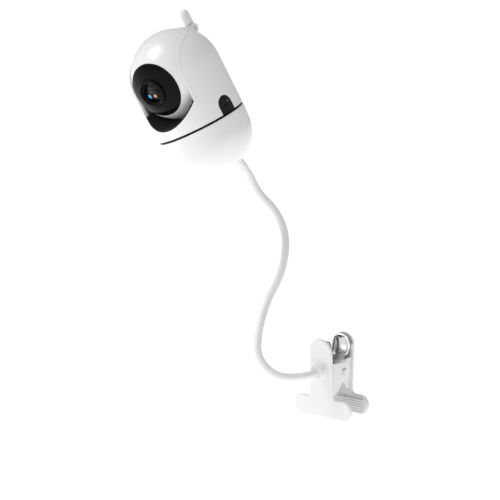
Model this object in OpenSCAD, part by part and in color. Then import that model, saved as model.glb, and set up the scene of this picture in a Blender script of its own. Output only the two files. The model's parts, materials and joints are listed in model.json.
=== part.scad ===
// Baby monitor camera: a pan and tilt capsule camera on a bendable neck with a
// spring clamp that grips the top rail of a cot.
// The origin is the middle of the front jaw's pad, where it meets the rail.
// X runs along the rail, -Y points at the child, Z is up. Millimetres.

/* [Clamp] */
// thickness of the rail between the two pads
rail_thickness = 18; // [12:1:26]
// height of the clamp pin above the middle of the pads
pin_height = 29; // [26:1:32]
// lean of each jaw plate away from upright, in degrees
jaw_lean = 4; // [2:0.5:6]
// thickness of each jaw plate
plate_thickness = 3; // [2.5:0.25:4]
// thickness of the rubber pads at their middle
pad_thickness = 1.6; // [1.4:0.1:2.4]
// width of the T-shaped end of each jaw
jaw_width = 54; // [46:1:60]
// height of the T-shaped end of each jaw
jaw_bar_height = 16; // [14:1:18]
// width of the rounded finger end of each jaw
finger_width = 20.4; // [19:0.2:22]
// distance from the pin to the top of the finger ends
finger_length = 28; // [26:1:32]
// radius of the steel clamp pin
pin_radius = 1.5; // [1.25:0.25:1.75]

/* [Neck] */
// outer radius of the neck's sleeve
neck_radius = 3.1; // [2.8:0.1:3.4]
// radius of the bendable wire core
core_radius = 1.6; // [1.4:0.1:1.8]
// length of each bend, counted from the clamp
bend_1_length = 26.7; // [22:0.1:32]
// second bend, the tight curve beside the clamp
bend_2_length = 38.5; // [34:0.1:42]
// third bend
bend_3_length = 48.4; // [44:0.1:54]
// fourth bend
bend_4_length = 38.3; // [34:0.1:44]
// fifth bend
bend_5_length = 39.8; // [36:0.1:46]
// sixth bend
bend_6_length = 19.6; // [16:0.1:24]
// seventh bend, at the camera
bend_7_length = 12.6; // [11:0.1:16]
// angle of each bend, in degrees
bend_1_angle = 39.1; // [30:0.1:45]
// angle of the second bend
bend_2_angle = 96.7; // [85:0.1:100]
// angle of the third bend
bend_3_angle = 23.1; // [10:0.1:35]
// angle of the fourth bend
bend_4_angle = 25.2; // [10:0.1:35]
// angle of the fifth bend
bend_5_angle = 53.5; // [40:0.1:60]
// angle of the sixth bend
bend_6_angle = 23.4; // [10:0.1:30]
// angle of the seventh bend
bend_7_angle = 23.9; // [10:0.1:30]
// turn about the neck's own line before each bend, in degrees
bend_1_turn = 165.7; // [150:0.1:180]
// turn before the second bend
bend_2_turn = -45.8; // [-60:0.1:-30]
// turn before the third bend
bend_3_turn = -1.6; // [-15:0.1:15]
// turn before the fourth bend
bend_4_turn = -179.3; // [-190:0.1:-165]
// turn before the fifth bend
bend_5_turn = 7.3; // [-5:0.1:20]
// turn before the sixth bend
bend_6_turn = 134.7; // [120:0.1:150]
// turn before the seventh bend
bend_7_turn = -121.1; // [-135:0.1:-105]

/* [Camera] */
// outer radius of the camera's body
head_radius = 36; // [34:0.5:38]
// distance from the dome's centre down to the black ring between the shells
ring_drop = 42; // [41:0.5:46]
// height of the lower cup below the black ring
cup_height = 40.5; // [40:0.5:44]
// radius of the round lower edge of the cup
cup_corner = 29; // [28:0.5:29.5]
// wall thickness of the cup
cup_wall = 2; // [1.8:0.1:2.4]
// half the width of the eyeball and of the gap it turns in
eye_half_width = 26.3; // [25.5:0.1:26.5]
// gap between the turning eyeball and the shell
eye_gap = 0.3; // [0.3:0.05:0.4]
// radius of the shiny black face of the eye
face_radius = 21.8; // [21:0.1:22.2]
// radius of the opening's round lower lip
lip_radius = 34; // [33.5:0.1:34.2]
// outer radius of the lens ring
lens_ring_radius = 11.5; // [11:0.1:12]
// how far down the eye looks at rest, in degrees
eye_rest_angle = 4.9; // [0:0.1:8]
// angle between the camera's front and the card bay, seen from above
card_bay_angle = 84; // [70:1:100]
// radius of the stub antenna
antenna_radius = 3.7; // [3.4:0.1:3.8]
// lean of the screw socket in the cup, in degrees
socket_lean = 20; // [18:1:22]
// turn of the camera on its mounting screw, in degrees
camera_turn = 91.8; // [80:0.1:100]

/* [Hidden] */
$fa = 6;
$fs = 0.7;
slack = 0.3;          // gap between faces that move past each other
running = 0.06;       // radial gap of a shaft in its hole
over = 1;             // how far a cutting shape runs past what it cuts

// clamp
half_rail = rail_thickness / 2;
plate_offset = plate_thickness / 2 + (half_rail + pad_thickness
    + (pin_height - plate_thickness) * sin(jaw_lean)) / cos(jaw_lean);
plate_face = plate_offset - plate_thickness / 2;
plate_back = plate_offset + plate_thickness / 2;
finger_radius = finger_width / 2;
stem_half = 11.4;
bar_radius = jaw_bar_height / 2;
fillet = 3;
outer_ear_out = 11.4;
outer_ear_in = 9.4;
inner_ear_out = outer_ear_in - slack;
inner_ear_in = inner_ear_out - 1.8;
ear_radius = 7.2;
ear_rise = 9.4;        // how far the ears reach above the pin, at the plate
ear_drop = 16.2;       // how far the ears reach below the pin, clear of the rail
arch_radius = 7.5;
arch_drop = 15.5;
pin_head_radius = 2.5;
pin_head_thick = 1.1;
boss_rise = 3;
boss_length = 7;
boss_radius = 5.6;
ferrule_radius = 4.2;
wire_radius = 0.7;
coil_radius = 3.4;
coil_pitch = 1.36;
coil_turns = 8;
hook_length = 6.5;

// neck
joint_gap = 0.3;
ball_radius = neck_radius - 0.1;
splice_length = 1.2;
splice_gap = 0.12;     // hairline between two bends of one length, bridged inside
root_length = 4.9;     // how far the neck sits in the clamp's ferrule
tail_length = 2.6;     // how far it sits in the camera's collar
cup_cut = neck_radius + joint_gap;
bend_length = [bend_1_length, bend_2_length, bend_3_length, bend_4_length,
    bend_5_length, bend_6_length, bend_7_length];
bend_angle = [bend_1_angle, bend_2_angle, bend_3_angle, bend_4_angle,
    bend_5_angle, bend_6_angle, bend_7_angle];
bend_turn = [bend_1_turn, bend_2_turn, bend_3_turn, bend_4_turn,
    bend_5_turn, bend_6_turn, bend_7_turn];

// camera body, measured from the centre of its dome
ring_height = 1.7;
ring_radius = head_radius - 0.5;
cup_top = -ring_drop - ring_height / 2;
shell_bottom = -ring_drop + ring_height / 2;
cup_bottom = -ring_drop - cup_height;
flat_radius = head_radius - 0.5 - cup_corner;
corner_z = cup_bottom + cup_corner;
eye_radius = head_radius - 1.4;
eye_room = eye_radius + eye_gap;
shell_bore = head_radius - 1.9;
slot_half = eye_half_width + slack;
slot_rear_centre = -7;
cheek_thick = 1.6;
floor_top = shell_bottom + 2.4;
eye_wall = 1.6;
eye_split = 20;
face_plane = sqrt(eye_radius * eye_radius - face_radius * face_radius);
face_dome = 44;        // radius of the bulging black face
lens_lift = 3.1;       // how far the bulge carries the lens forwards
shaft_radius = 2.5;
motor_radius = 12;
antenna_y = head_radius + antenna_radius - 0.9;
antenna_z = 23.2;
antenna_tip = 39.6;
antenna_core_top = 32;
tongue_half = 1.8;
fork_half = 3.9;
hinge_radius = 1.0;
socket_length = 9;
stud_radius = 3.175;
insert_radius = 4.6;
collar_length = 12;
collar_radius = 4.4;
insert_y = flat_radius + cup_corner * sin(socket_lean);
insert_z = corner_z - cup_corner * cos(socket_lean);

// ---------------------------------------------------------------- placing

// puts a shape at the clamp pin, leaning with the front jaw
module at_front_jaw() {
    translate([0, half_rail, pin_height])
        rotate([jaw_lean, 0, 0])
            children();
}

// puts a shape at the clamp pin, mirrored for the rear jaw
module at_rear_jaw() {
    translate([0, half_rail, pin_height])
        rotate([-jaw_lean, 0, 0])
            mirror([0, 1, 0])
                children();
}

// puts a shape where the neck leaves the front jaw, +Z along the neck
module at_neck_start() {
    at_front_jaw()
        translate([0, -plate_back - boss_length, boss_rise])
            rotate([90, 0, 0])
                children();
}

// turns and moves a shape to the end of bend i
module past_bend(i) {
    bend_radius = bend_length[i] / (bend_angle[i] * PI / 180);
    rotate([0, 0, bend_turn[i]])
        translate([bend_radius * (1 - cos(bend_angle[i])), 0,
            bend_radius * sin(bend_angle[i])])
            rotate([0, bend_angle[i], 0])
                children();
}

// puts a shape after the first n bends
module after_bends(n, i = 0) {
    if (i < n)
        past_bend(i)
            after_bends(n, i + 1)
                children();
    else
        children();
}

// puts a shape in the camera's own axes: origin at the dome's centre
module at_camera() {
    at_neck_start()
        after_bends(7)
            rotate([0, 0, camera_turn])
                translate([0, 0, collar_length])
                    rotate([-socket_lean, 0, 0])
                        translate([0, -insert_y, -insert_z])
                            children();
}

// puts a shape on the eyeball, whose face looks a little down at rest
module at_eye() {
    at_camera()
        rotate([eye_rest_angle, 0, 0])
            children();
}
// puts a shape on the camera's screw socket, +Z pointing down the neck
module at_socket() {
    translate([0, insert_y, insert_z])
        rotate([180 + socket_lean, 0, 0])
            children();
}

// stands a shape up on the front of the camera, its Z pointing forwards
module facing_front(distance) {
    translate([0, -distance, 0])
        rotate([90, 0, 0])
            children();
}

// lays a round bar along X between two places
module bar_x(radius, from, to) {
    translate([from, 0, 0])
        rotate([0, 90, 0])
            cylinder(r = radius, h = to - from);
}

// ------------------------------------------------------------------ clamp

// the upright outline of a jaw plate: round finger end, stem and T-bar
module jaw_outline() {
    bar_z = -(pin_height - plate_thickness / 2);
    top_z = finger_length - finger_radius;
    bar_top = bar_z + bar_radius;
    difference() {
        union() {
            translate([0, top_z])
                circle(r = finger_radius);
            polygon([[-finger_radius, top_z], [finger_radius, top_z],
                [stem_half, bar_z], [-stem_half, bar_z]]);
            for (side = [-1, 1])
                translate([side * (jaw_width / 2 - bar_radius), bar_z])
                    circle(r = bar_radius);
            translate([-jaw_width / 2 + bar_radius, bar_z - bar_radius])
                square([jaw_width - 2 * bar_radius, jaw_bar_height]);
            translate([-stem_half - fillet, bar_top - over])
                square([2 * (stem_half + fillet), fillet + over]);
        }
        for (side = [-1, 1])
            translate([side * (stem_half + fillet), bar_top + fillet])
                circle(r = fillet);
    }
}

// a jaw plate standing on the -Y side of the pin
module jaw_plate() {
    translate([0, -plate_face, 0])
        rotate([90, 0, 0])
            linear_extrude(plate_thickness)
                jaw_outline();
}

// the side profile of an ear from plate to pin, drawn in Y and Z
module ear_profile(reach_up, reach_down) {
    difference() {
        union() {
            circle(r = ear_radius);
            polygon([[-plate_face, reach_up], [-plate_face, -reach_down],
                [-plate_face + 1.2, -reach_down], [0, -ear_radius],
                [0, ear_radius]]);
        }
        translate([1, -arch_drop])
            circle(r = arch_radius);
    }
}

// two ears, one on each side, between two distances from the middle
module ears(inside, outside, reach_up, reach_down, hole) {
    for (side = [-1, 1])
        translate([side * (inside + outside) / 2, 0, 0])
            difference() {
                rotate([90, 0, 90])
                    linear_extrude(outside - inside, center = true)
                        ear_profile(reach_up, reach_down);
                bar_x(hole, -over - 2, over + 2);
            }
}

// the rubber pad on the inner face of a T-bar, upright against the rail
module jaw_pad() {
    translate([-(jaw_width - 8) / 2, 0, -(jaw_bar_height - 5) / 2])
        cube([jaw_width - 8, 6, jaw_bar_height - 5]);
}

module front_jaw() {
    color("#f4f4f2")
        difference() {
            at_front_jaw() {
                difference() {
                    union() {
                        jaw_plate();
                        ears(outer_ear_in, outer_ear_out, ear_rise, ear_drop, pin_radius);
                        translate([0, -plate_back + over / 2, boss_rise])
                            rotate([90, 0, 0])
                                cylinder(r1 = boss_radius + 0.6, r2 = boss_radius,
                                    h = boss_length + over / 2);
                    }
                    translate([0, -plate_face + over, boss_rise])
                        rotate([90, 0, 0])
                            cylinder(r = ferrule_radius,
                                h = boss_length + plate_thickness + 2 * over);
                    translate([0, -plate_back - boss_length / 2, boss_rise])
                        rotate([180, 0, 0])
                            cylinder(r = 1.2, h = boss_radius + over);
                }
            }
        }
}

module front_pad() {
    color("#d9d9d6")
        difference() {
            translate([0, -6, 0])
                jaw_pad();
            at_front_jaw()
                translate([-jaw_width, -plate_face - 20, -60])
                    cube([2 * jaw_width, 20, 80]);
        }
}

module rear_jaw() {
    color("#f4f4f2")
        at_rear_jaw()
            difference() {
                union() {
                    jaw_plate();
                    ears(inner_ear_in, inner_ear_out, ear_rise, ear_drop, pin_radius + running);
                    translate([0, -plate_face - 0.4, 2])
                        rotate([-90, 0, 0])
                            cylinder(r = 3.3, h = 3);
                }
            }
}

module rear_pad() {
    color("#d9d9d6")
        difference() {
            translate([0, rail_thickness, 0])
                jaw_pad();
            at_rear_jaw()
                translate([-jaw_width, -plate_face - 20, -60])
                    cube([2 * jaw_width, 20, 80]);
        }
}

module rear_finger_plate() {
    plate_rise = 2.6;
    dish_radius = 24;
    color("#9a9a9c")
        at_rear_jaw()
            translate([0, -plate_face, 0])
                rotate([-90, 0, 0])
                    difference() {
                        union() {
                            linear_extrude(plate_rise)
                                difference() {
                                    translate([0, -finger_length + finger_radius])
                                        circle(r = finger_radius - 0.2);
                                    translate([0, -8.6])
                                        circle(r = 3.6);
                                }
                            for (side = [-1, 1])
                                linear_extrude(plate_rise - 0.6)
                                    polygon([[side * 3.7, -14.2], [side * 8.2, -14.2],
                                        [side * 6.3, -5.5], [side * 3.9, -5.5]]);
                        }
                        translate([0, -17, dish_radius + 1.3])
                            sphere(r = dish_radius, $fn = 120);
                    }
}

module clamp_pin() {
    reach = outer_ear_out + 0.05;
    color("#8a8a8c")
        translate([0, half_rail, pin_height]) {
            bar_x(pin_radius, -reach, reach);
            for (side = [0, 1])
                mirror([side, 0, 0])
                    bar_x(pin_head_radius, reach, reach + pin_head_thick);
        }
}

// one leg of the spring with its hook, on the -Y side of the coil
module spring_leg() {
    leg_top = 24.5;
    leg_y = -plate_face + 4.2;
    run = leg_top - 1;
    drop = leg_y + coil_radius;
    tilt = atan2(-drop, run);
    leg = sqrt(run * run + drop * drop);
    translate([-coil_pitch * (coil_turns - 1) / 2, -coil_radius, 1])
        rotate([tilt, 0, 0]) {
            translate([0, 0, -1])
                cylinder(r = wire_radius, h = leg + 1);
            translate([0, 0, leg]) {
                sphere(r = wire_radius, $fn = 24);
                bar_x(wire_radius, 0, hook_length);
            }
        }
}

module clamp_spring() {
    first = -coil_pitch * (coil_turns - 1) / 2;
    color("#3c3c40")
        translate([0, half_rail, pin_height]) {
            for (turn = [0:coil_turns - 1])
                translate([first + turn * coil_pitch, 0, 0])
                    rotate([0, 90, 0])
                        rotate_extrude($fn = 40)
                            translate([coil_radius, 0])
                                circle(r = wire_radius, $fn = 14);
            rotate([-jaw_lean, 0, 0])
                mirror([0, 1, 0])
                    spring_leg();
            rotate([jaw_lean, 0, 0])
                mirror([1, 0, 0])
                    spring_leg();
        }
}

// ------------------------------------------------------------------- neck

// a solid bend of the neck with the given outer radius, stopping a little short
module bend_solid(i, radius, short_by) {
    bend_radius = bend_length[i] / (bend_angle[i] * PI / 180);
    turned = bend_angle[i] - short_by / bend_radius * 180 / PI;
    rotate([0, 0, bend_turn[i]])
        translate([bend_radius, 0, 0])
            rotate([90, 0, 180])
                rotate_extrude(angle = turned, $fn = 96)
                    translate([bend_radius, 0])
                        circle(r = radius, $fn = 24);
}

// bends from first to last as one solid bar
module route(first, last, radius) {
    at_neck_start()
        for (i = [first:last])
            after_bends(i)
                bend_solid(i, radius, i < last ? splice_gap : 0);
}

// short plugs that fuse one bend to the next
module splices(first, last, radius) {
    at_neck_start()
        for (i = [first + 1:1:last])
            after_bends(i)
                translate([0, 0, -splice_length / 2])
                    cylinder(r = radius, h = splice_length, $fn = 24);
}

// the hollow that lets one neck length swing on the ball of the one before
module ball_room(n) {
    at_neck_start()
        after_bends(n)
            sphere(r = cup_cut, $fn = 48);
}

// the ball that ends a neck length
module ball_end(n) {
    at_neck_start()
        after_bends(n)
            sphere(r = ball_radius, $fn = 48);
}

// the straight end of the neck that is glued into the clamp's ferrule
module neck_root(radius, plug_radius) {
    at_neck_start() {
        translate([0, 0, -root_length])
            cylinder(r = radius, h = root_length - splice_gap, $fn = 48);
        translate([0, 0, -splice_length / 2])
            cylinder(r = plug_radius, h = splice_length, $fn = 24);
    }
}
// the straight end of the neck that is glued into the camera's collar
module neck_tail(radius, plug_radius) {
    at_neck_start()
        after_bends(7) {
            translate([0, 0, splice_gap])
                cylinder(r = radius, h = tail_length, $fn = 48);
            translate([0, 0, -splice_length / 2])
                cylinder(r = plug_radius, h = splice_length, $fn = 24);
        }
}
// a sleeve over bends first to last, hollow for its core
module sleeve(first, last, opens_with_cup, ends_with_ball) {
    difference() {
        union() {
            route(first, last, neck_radius);
            splices(first, last, neck_radius - 0.4);
            if (ends_with_ball)
                ball_end(last + 1);
            if (first == 0)
                neck_root(neck_radius, neck_radius - 0.4);
            if (last == 6)
                neck_tail(neck_radius, neck_radius - 0.4);
        }
        route(first, last, core_radius);
        splices(first, last, core_radius - 0.1);
        if (first == 0)
            neck_root(core_radius, core_radius - 0.1);
        if (last == 6)
            neck_tail(core_radius, core_radius - 0.1);
        if (opens_with_cup)
            ball_room(first);
    }
}

// the wire core inside the same bends
module core(first, last, opens_with_cup) {
    difference() {
        union() {
            route(first, last, core_radius);
            splices(first, last, core_radius - 0.1);
            if (first == 0)
                neck_root(core_radius, core_radius - 0.1);
            if (last == 6)
                neck_tail(core_radius, core_radius - 0.1);
        }
        if (opens_with_cup)
            ball_room(first);
    }
}

module neck_sleeve_1() {
    color("#f2f2f2")
        sleeve(0, 1, false, true);
}

module neck_core_1() {
    color("#a8a8a8")
        core(0, 1, false);
}

module neck_sleeve_2() {
    color("#f2f2f2")
        sleeve(2, 3, true, true);
}

module neck_core_2() {
    color("#a8a8a8")
        core(2, 3, true);
}

module neck_sleeve_3() {
    color("#f2f2f2")
        sleeve(4, 4, true, true);
}

module neck_core_3() {
    color("#a8a8a8")
        core(4, 4, true);
}

module neck_sleeve_4() {
    color("#f2f2f2")
        sleeve(5, 6, true, false);
}

module neck_core_4() {
    color("#a8a8a8")
        core(5, 6, true);
}

module neck_ferrule() {
    color("#c9c9cb")
        at_neck_start()
            translate([0, 0, -boss_length - plate_thickness])
                difference() {
                    cylinder(r = ferrule_radius, h = boss_length + plate_thickness);
                    translate([0, 0, boss_length + plate_thickness - 5])
                        cylinder(r = neck_radius, h = 6);
                }
}

module ferrule_screw() {
    color("#77777a")
        at_front_jaw()
            translate([0, -plate_back - boss_length / 2, boss_rise - ferrule_radius - 0.05])
                rotate([180, 0, 0])
                    difference() {
                        cylinder(r = 1.2, h = 1.6);
                        translate([0, 0, 0.9])
                            cylinder(r = 0.6, h = 2, $fn = 6);
                    }
}

module neck_collar() {
    color("#efefef")
        at_camera()
            at_socket()
                difference() {
                    union() {
                        cylinder(r = collar_radius + 0.5, h = 3.2);
                        translate([0, 0, 3.2])
                            cylinder(r1 = collar_radius, r2 = neck_radius + 0.5,
                                h = collar_length - 3.2);
                        translate([0, 0, collar_length])
                            cylinder(r = neck_radius + 0.5, h = 0.6);
                    }
                    translate([0, 0, collar_length - 3])
                        cylinder(r = neck_radius + 0.06, h = 3 + 2 * over);
                    translate([0, 0, -over])
                        cylinder(r = stud_radius, h = 7 + over);
                }
}

module mount_stud() {
    color("#b0b0b2")
        at_camera()
            at_socket()
                translate([0, 0, -socket_length + 1])
                    cylinder(r = stud_radius, h = socket_length + 6);
}

module socket_insert() {
    color("#c8a45a")
        at_camera()
            at_socket()
                translate([0, 0, -socket_length])
                    difference() {
                        cylinder(r = insert_radius, h = socket_length - 0.4);
                        translate([0, 0, -over])
                            cylinder(r = stud_radius, h = socket_length + 2 * over);
                    }
}

// ------------------------------------------------------------ camera base

// half profile of the cup at a distance inside its outer face
module cup_profile(inset) {
    top = cup_top + (inset > 0 ? over : 0);
    polygon([[0, corner_z], [head_radius - 0.5 - inset, corner_z],
        [head_radius - inset, cup_top], [head_radius - inset, top], [0, top]]);
    intersection() {
        translate([flat_radius, corner_z])
            circle(r = cup_corner - inset, $fn = 180);
        translate([0, cup_bottom - over])
            square([head_radius, cup_corner + over]);
    }
    translate([0, cup_bottom + inset])
        square([flat_radius, cup_corner - inset]);
}

module base_cup() {
    color("#f5f5f5")
        at_camera()
            difference() {
                union() {
                    difference() {
                        rotate_extrude($fn = 180)
                            cup_profile(0);
                        rotate_extrude($fn = 180)
                            cup_profile(cup_wall);
                    }
                    intersection() {
                        at_socket()
                            translate([0, 0, -socket_length - 1.5])
                                cylinder(r = insert_radius + 2, h = socket_length + 1.4);
                        rotate_extrude($fn = 180)
                            cup_profile(cup_wall / 2);
                    }
                    for (turn = [60:120:300])
                        rotate([0, 0, turn])
                            translate([26, 0, -73])
                                cylinder(r = 2.4, h = 26.4);
                }
                at_socket()
                    translate([0, 0, -socket_length])
                        cylinder(r = insert_radius, h = socket_length + 3);
                translate([-4.1, 26, -63.6])
                    cube([8.2, 12, 3.2]);
                for (turn = [60:120:300])
                    rotate([0, 0, turn])
                        translate([26, 0, -56])
                            cylinder(r = 1.1, h = 10);
            }
}

module base_deck() {
    color("#3a3a3c")
        at_camera()
            difference() {
                translate([0, 0, -46.6])
                    cylinder(r = head_radius - cup_wall - 0.6, h = 1.8, $fn = 120);
                translate([0, 0, -48])
                    cylinder(r = 7, h = 5);
                for (turn = [60:120:300])
                    rotate([0, 0, turn])
                        translate([26, 0, -48])
                            cylinder(r = 1.3, h = 5);
                for (side = [-1, 1])
                    translate([side * 15.5, 0, -48])
                        cylinder(r = 1.3, h = 5);
            }
}

module deck_screws() {
    color("#77777a")
        at_camera() {
            for (turn = [60:120:300])
                rotate([0, 0, turn])
                    translate([26, 0, 0]) {
                        translate([0, 0, -55])
                            cylinder(r = 1.1, h = 10.2);
                        translate([0, 0, -44.8])
                            cylinder(r = 2.2, h = 0.9);
                    }
            for (side = [-1, 1])
                translate([side * 15.5, 0, 0]) {
                    translate([0, 0, -50.4])
                        cylinder(r = 1.3, h = 5.6);
                    translate([0, 0, -44.8])
                        cylinder(r = 2.2, h = 0.9);
                }
        }
}

module pan_motor() {
    color("#b9babc")
        at_camera()
            difference() {
                union() {
                    translate([0, 0, -62])
                        cylinder(r = motor_radius, h = 15.4);
                    translate([0, 0, -46.8])
                        cylinder(r = 4.5, h = 2.4);
                    for (side = [-1, 1])
                        translate([side * 15.5, 0, -48.2])
                            cylinder(r = 3.2, h = 1.6);
                    translate([-15.5, -3.2, -48.2])
                        cube([31, 6.4, 1.6]);
                }
                translate([0, 0, -56])
                    cylinder(r = shaft_radius + running, h = 14);
                for (side = [-1, 1])
                    translate([side * 15.5, 0, -50])
                        cylinder(r = 1.3, h = 5);
            }
}

module main_board() {
    color("#1d6b3c")
        at_camera() {
            difference() {
                translate([0, 0, -66.4])
                    cylinder(r = 22.8, h = 1.6);
                for (turn = [60:120:300])
                    rotate([0, 0, turn])
                        translate([19.5, 0, -68])
                            cylinder(r = 1.5, h = 5);
            }
            translate([-14, -14, -64.8])
                cube([12, 12, 1.2]);
            translate([3, -12, -64.8])
                cube([8, 6, 1.4]);
            translate([-10, 14, -64.8])
                cube([6, 5, 2]);
        }
}

module board_standoffs() {
    color("#c8a45a")
        at_camera()
            for (turn = [60:120:300])
                rotate([0, 0, turn])
                    translate([19.5, 0, -76.1])
                        cylinder(r = 1.5, h = 12.2);
}

module speaker() {
    color("#2c2c2e")
        at_camera()
            translate([0, -9, -77.9]) {
                cylinder(r = 8, h = 3.2);
                translate([0, 0, 3.2])
                    cylinder(r = 4.5, h = 1.6);
            }
}

module power_inlet() {
    color("#a5a6a8")
        at_camera()
            difference() {
                translate([-3.9, 27, -63.4])
                    cube([7.8, 6.2, 2.8]);
                translate([-3.4, 28, -63])
                    cube([6.8, 8, 2]);
            }
}

// ----------------------------------------------------- turning upper part

module pan_shaft() {
    color("#8f9092")
        at_camera()
            translate([0, 0, -55])
                cylinder(r = shaft_radius, h = 55 + floor_top + 1.5);
}

module seam_ring() {
    color("#141414")
        at_camera()
            difference() {
                translate([0, 0, cup_top + slack])
                    cylinder(r = ring_radius, h = ring_height - slack, $fn = 180);
                translate([0, 0, cup_top - over])
                    cylinder(r = shell_bore - 3, h = 5, $fn = 120);
            }
}

module pan_floor() {
    color("#d7d7d7")
        at_camera()
            difference() {
                union() {
                    translate([0, 0, shell_bottom])
                        cylinder(r = shell_bore - 0.1, h = 2.4, $fn = 120);
                    translate([0, 0, cup_top + 0.4])
                        cylinder(r = 6, h = 2.5);
                    translate([0, 0, shell_bottom])
                        cylinder(r = 5, h = 3.9);
                }
                translate([0, 0, -46])
                    cylinder(r = shaft_radius, h = 12);
                for (turn = [45:90:315])
                    rotate([0, 0, turn])
                        translate([29, 0, shell_bottom - over])
                            cylinder(r = 1.25, h = 5);
            }
}

module floor_screws() {
    color("#77777a")
        at_camera()
            for (turn = [45:90:315])
                rotate([0, 0, turn])
                    translate([29, 0, 0]) {
                        translate([0, 0, shell_bottom])
                            cylinder(r = 1.25, h = 2.4);
                        translate([0, 0, floor_top])
                            cylinder(r = 2.3, h = 1);
                    }
}

// everything that the gap for the eyeball takes out of the shell
module eye_opening() {
    reach = head_radius + 4;
    intersection() {
        translate([-slot_half, -reach, -lip_radius - over])
            cube([2 * slot_half, reach, lip_radius + over + 0.01]);
        translate([0, 0, 0])
            rotate([90, 0, 0])
                cylinder(r = lip_radius, h = reach, $fn = 180);
    }
    translate([-slot_half, -reach, 0])
        cube([2 * slot_half, reach + slot_rear_centre, reach]);
    translate([0, slot_rear_centre, 0])
        cylinder(r = slot_half, h = reach, $fn = 120);
}

module outer_shell() {
    color("#f5f5f5")
        at_camera()
            difference() {
                union() {
                    sphere(r = head_radius, $fn = 180);
                    translate([0, 0, shell_bottom])
                        cylinder(r = head_radius, h = -shell_bottom, $fn = 180);
                    antenna_fork();
                }
                sphere(r = eye_room, $fn = 180);
                translate([0, 0, shell_bottom - over])
                    cylinder(r = shell_bore, h = over - shell_bottom - 5, $fn = 180);
                eye_opening();
                rotate([0, 0, card_bay_angle - 90])
                    card_bay_room(7);
                translate([0, antenna_y, antenna_z])
                    bar_x(hinge_radius, -fork_half - over, fork_half + over);
            }
}

// the arm at the back that carries the antenna between two ears
module antenna_fork() {
    inner = tongue_half + slack;
    difference() {
        union() {
            translate([0, antenna_y, antenna_z])
                bar_x(antenna_radius, -fork_half, fork_half);
            translate([-fork_half, 24, antenna_z - antenna_radius])
                cube([2 * fork_half, antenna_y - 24, 2 * antenna_radius]);
        }
        translate([-inner, antenna_y - antenna_radius - 0.6, antenna_z - 2 * antenna_radius])
            cube([2 * inner, 4 * antenna_radius, 4 * antenna_radius]);
    }
}

// the arch-shaped space of the card bay on the right side
module card_bay_room(half_width) {
    translate([25, 0, 0])
        rotate([90, 0, 90])
            linear_extrude(15)
                union() {
                    translate([0, shell_bottom + 13.4 - half_width])
                        circle(r = half_width);
                    translate([-half_width, shell_bottom - over])
                        square([2 * half_width, 14.4 - half_width]);
                }
}

module card_bay() {
    color("#101010")
        at_camera()
            rotate([0, 0, card_bay_angle - 90])
                difference() {
                    intersection() {
                        card_bay_room(6.98);
                        translate([0, 0, shell_bottom + 0.2])
                            cylinder(r = head_radius - 0.5, h = 30, $fn = 180);
                    }
                    translate([0, 0, -50])
                        cylinder(r = head_radius - 2.7, h = 40, $fn = 180);
                    translate([0, 0, -50])
                        cylinder(r = shell_bore + 0.05, h = 50 + floor_top + 0.05, $fn = 180);
                    translate([25, -5.2, -35.6])
                        cube([15, 7, 0.9]);
                    translate([0, 4, -33.5])
                        bar_x(1.3, 25, 40);
                }
}

module card_socket() {
    color("#9c9da0")
        at_camera()
            rotate([0, 0, card_bay_angle - 90])
                difference() {
                    translate([29.2, -6.5, -36.4])
                        cube([3.4, 9, 2.2]);
                    translate([30, -5.2, -35.6])
                        cube([8, 7, 0.9]);
                }
}

module reset_button() {
    color("#2a2a2a")
        at_camera()
            rotate([0, 0, card_bay_angle - 90])
                translate([0, 4, -33.5])
                    bar_x(1.0, 31, 34.6);
}

module inner_bowl() {
    color("#0e0e0e")
        at_camera()
            difference() {
                intersection() {
                    rotate([90, 0, 0])
                        cylinder(r = lip_radius, h = head_radius, $fn = 180);
                    translate([0, 0, shell_bottom])
                        cylinder(r = head_radius - 0.25, h = 30, $fn = 180);
                    translate([-slot_half, -head_radius, -head_radius])
                        cube([2 * slot_half, head_radius, 20]);
                }
                rotate([90, 0, 0])
                    cylinder(r = lip_radius - 1.2, h = head_radius + over, $fn = 180);
                sphere(r = eye_room + 0.1, $fn = 180);
                for (groove = [14:3:29])
                    translate([0, -groove, 0])
                        rotate([90, 0, 0])
                            cylinder(r = lip_radius - 0.8, h = 1, $fn = 120);
            }
}

module tilt_frame() {
    color("#c4c4c4")
        at_camera()
            for (side = [-1, 1])
                difference() {
                    union() {
                        translate([side > 0 ? slot_half : -slot_half - cheek_thick, 0, 0])
                            bar_x(20, 0, cheek_thick);
                        translate([side > 0 ? slot_half : -slot_half - cheek_thick, -11,
                            floor_top])
                            cube([cheek_thick, 22, -floor_top]);
                        translate([side > 0 ? slot_half - 5 : -slot_half, -11, floor_top])
                            cube([5, 22, 1.6]);
                    }
                    bar_x(shaft_radius, -40, 40);
                }
}

module tilt_shaft() {
    color("#8f9092")
        at_camera()
            bar_x(shaft_radius, -slot_half - cheek_thick - 0.6, -20);
}

module tilt_pivot() {
    color("#8f9092")
        at_camera()
            bar_x(shaft_radius, eye_half_width - eye_wall - 1.4,
                slot_half + cheek_thick + 0.6);
}

// ----------------------------------------------------------------- antenna

module antenna_pin() {
    color("#8f9092")
        at_camera()
            translate([0, antenna_y, antenna_z])
                bar_x(hinge_radius, -fork_half, fork_half);
}

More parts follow.
